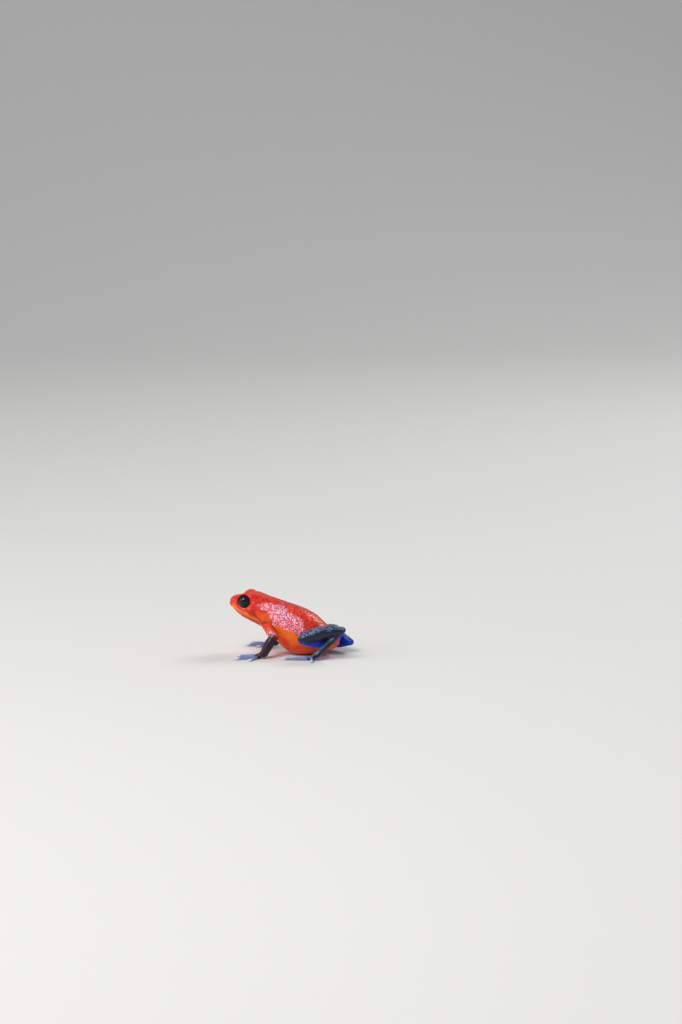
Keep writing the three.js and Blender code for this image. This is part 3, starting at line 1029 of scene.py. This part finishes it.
def skin_colour(tree, place, group):
    colour = trunk_colour(tree, place, group)
    # The upper lip's painted highlight
    colour = mixed(tree, mask(tree, "lip"), colour, LIP_HIGHLIGHT_ORANGE)
    # Painted shade in the creases and along the mouth's line, and the darker ear drum
    colour = mixed(tree, mask(tree, "painted_shade_and_eardrum"), colour, DEEP_RED)
    # A painted highlight along the lower lid's edge
    colour = mixed(tree, mask(tree, "rim"), colour, LID_PAINTED_HIGHLIGHT)
    colour = mixed(tree, mask(tree, "leg"), colour, leg_colour(tree, place, group))
    colour = mixed(tree, mask(tree, "forearm"), colour, arm_colour(tree, place))
    # Painted glints on the elbow, pale lilac highlights of the light
    glint = scattered(tree, group, place, ELBOW_PAINTED_GLINTS)
    colour = mixed(tree, times(tree, glint, mask(tree, "elbow")), colour, PAINTED_ELBOW_LILAC)
    colour = mixed(tree, mask(tree, "hand"), colour, HAND_BLUE)
    return mixed(tree, mask(tree, "tip"), colour, DISC_PALE)


SKIN_FINISH = {
    "Roughness": 0.42,
    "Specular IOR Level": 0.25,
    "Subsurface Weight": 0.08,
    "Subsurface Scale": 0.0006,
    "Subsurface Radius": (1.0, 0.35, 0.2),
    "Coat Weight": 0.32,
    "Coat Roughness": 0.12,
}
EYE_FINISH = {
    "Base Color": (0.003, 0.004, 0.009, 1),
    "Roughness": 0.05,
    "Specular IOR Level": 0.22,
    "Coat Weight": 0.3,
    "Coat Roughness": 0.02,
}
FLOOR_FINISH = {"Base Color": (0.78, 0.77, 0.75, 1), "Roughness": 0.75}


def finished(name, finish):
    """A new material, its tree and its shader with the finish given."""
    made = bpy.data.materials.new(name)
    made.use_nodes = True
    shader = made.node_tree.nodes["Principled BSDF"]
    for key, value in finish.items():
        shader.inputs[key].default_value = value
    return made, made.node_tree, shader


def skin_material():
    made, tree, shader = finished("frog_skin", SKIN_FINISH)
    spot = node(tree, "ShaderNodeTexCoord").outputs["Object"]
    to_millimetres = {0: spot, 1: (1 / MM,) * 3}
    place = node(tree, "ShaderNodeVectorMath", to_millimetres, operation="MULTIPLY").outputs[0]
    tree.links.new(skin_colour(tree, place, flecks_group()), shader.inputs["Base Color"])
    grain = node(tree, "ShaderNodeTexNoise", {"Vector": place, "Scale": 9.0, "Detail": 3.0})
    height = {"Height": grain.outputs["Fac"], "Strength": 0.35, "Distance": 0.02 * MM}
    bump = node(tree, "ShaderNodeBump", height)
    tree.links.new(bump.outputs["Normal"], shader.inputs["Normal"])
    return made


def eye_material():
    return finished("frog_eye", EYE_FINISH)[0]


def floor_material():
    return finished("pale_floor", FLOOR_FINISH)[0]


# The eyes

EYE_RINGS, EYE_AROUND = 48, 64
EYE_ROOM = 0.03  # between an eye and its socket
CORNEA = 0.07  # how far the cornea stands out


def build_eye(side, material):
    """A ball that looks out between the lids, with its cornea standing out a little."""
    turn = Vector(eye_look(side)).to_track_quat("Z", "Y")
    middle = eye_middle(side)
    points = []
    for i in range(EYE_RINGS + 1):
        tilt = math.pi * i / EYE_RINGS
        flat, ahead = math.sin(tilt), math.cos(tilt)
        radius = EYE_RADIUS - EYE_ROOM + CORNEA * max(0.0, ahead) ** 3
        for k in range(EYE_AROUND):
            way = 2 * math.pi * k / EYE_AROUND
            spot = Vector((flat * math.cos(way), flat * math.sin(way), ahead))
            points.append(middle + np.array(turn @ spot) * radius)
    faces = []
    for start in range(0, EYE_RINGS * EYE_AROUND, EYE_AROUND):
        for k in range(EYE_AROUND):
            a, b = start + k, start + (k + 1) % EYE_AROUND
            faces.append((a, a + EYE_AROUND, b + EYE_AROUND, b))
    eye = mesh_object(f"{side}_eye", np.array(points), np.array(faces))
    eye.data.materials.append(material)
    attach(eye, "root")
    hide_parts(f"eye_{side}")
    return eye


# The studio

PIXEL = 0.185  # millimetres of the frog in a pixel of the photograph
WIDE, HIGH = 682, 1024
AZIMUTH, ELEVATION = math.radians(14), math.radians(9)
DISTANCE = 600  # millimetres from the camera to the snout, along the view
SNOUT_PIXEL = (230.4, 599.4)  # where the snout's tip shows in the photograph
SENSOR = 36  # millimetres, the longer side


def aim(thing, direction):
    thing.rotation_mode = "QUATERNION"
    thing.rotation_quaternion = Vector(direction).to_track_quat("-Z", "Y")


def add_camera():
    """The photograph's camera, set so that the snout shows at its pixel."""
    data = bpy.data.cameras.new("camera")
    camera = new_object("camera", data)
    flat = math.cos(ELEVATION)
    forward = Vector((-math.sin(AZIMUTH) * flat, math.cos(AZIMUTH) * flat, -math.sin(ELEVATION)))
    aim(camera, forward)
    right = camera.rotation_quaternion @ Vector((1, 0, 0))
    up = camera.rotation_quaternion @ Vector((0, 1, 0))
    snout = Vector((on_body(np.float64(0.0), 0, 0) + SHIFT) * MM)
    across = (WIDE / 2 - SNOUT_PIXEL[0]) * PIXEL * MM
    down = (HIGH / 2 - SNOUT_PIXEL[1]) * PIXEL * MM
    camera.location = snout - forward * DISTANCE * MM + right * across - up * down
    data.sensor_width = SENSOR
    data.lens = SENSOR * DISTANCE / (HIGH * PIXEL)
    data.clip_start, data.clip_end = 0.01, 20
    bpy.context.scene.camera = camera


# The floor, in metres: from its front edge it is level, then it bends up to a wall behind the frog
FLOOR_FRONT, FLOOR_LEVEL_TO, FLOOR_BEND, WALL_TOP = -2.0, 0.5, 0.5, 2.5
FLOOR_HALF = 3.0  # half its width
FLOOR_SINK = 0.00001  # so that it doesn't lie in the plane of the frog's flats


def add_floor():
    """A level floor that rises in a wide curve behind the frog."""
    profile = [(FLOOR_FRONT, 0.0), (FLOOR_LEVEL_TO, 0.0)]
    for i in range(1, 25):
        turn = math.pi / 2 * i / 24
        rise = FLOOR_BEND * (1 - math.cos(turn))
        profile.append((FLOOR_LEVEL_TO + FLOOR_BEND * math.sin(turn), rise))
    profile.append((FLOOR_LEVEL_TO + FLOOR_BEND, WALL_TOP))
    points = [(x, y, z - FLOOR_SINK) for y, z in profile for x in (-FLOOR_HALF, FLOOR_HALF)]
    faces = [(2 * i, 2 * i + 1, 2 * i + 3, 2 * i + 2) for i in range(len(profile) - 1)]
    mesh = bpy.data.meshes.new("floor")
    mesh.from_pydata(points, [], faces)
    for polygon in mesh.polygons:
        polygon.use_smooth = True
    floor = new_object("floor", mesh)
    floor.rotation_euler = (0, 0, AZIMUTH)
    mesh.materials.append(floor_material())


def add_light(name, place, size, power, colour):
    """A round soft light that shines on the frog from a place in metres."""
    data = bpy.data.lights.new(name, "AREA")
    data.shape = "DISK"
    data.size, data.energy, data.color = size, power, colour
    light = new_object(name, data)
    light.location = place
    aim(light, -Vector(place))


def add_studio():
    """Three lights and a pale world round them."""
    add_light("key", (-0.12, -0.3, 0.42), 0.3, 1.75, (1.0, 0.98, 0.95))
    add_light("fill", (-0.5, -0.25, 0.2), 0.4, 0.7, (0.9, 0.95, 1.0))
    add_light("rim", (0.25, 0.4, 0.4), 0.25, 1.2, (1.0, 1.0, 1.0))
    world = bpy.data.worlds.new("studio")
    world.use_nodes = True
    back = world.node_tree.nodes["Background"]
    back.inputs["Color"].default_value = (0.92, 0.96, 1.0, 1)
    back.inputs["Strength"].default_value = 0.35
    scene = bpy.context.scene
    scene.world = world
    scene.view_settings.view_transform = "Standard"


skin = build_skin()
skin.data.materials.append(skin_material())
gloss = eye_material()
for side in SIGN:
    build_eye(side, gloss)
add_floor()
add_camera()
add_studio()
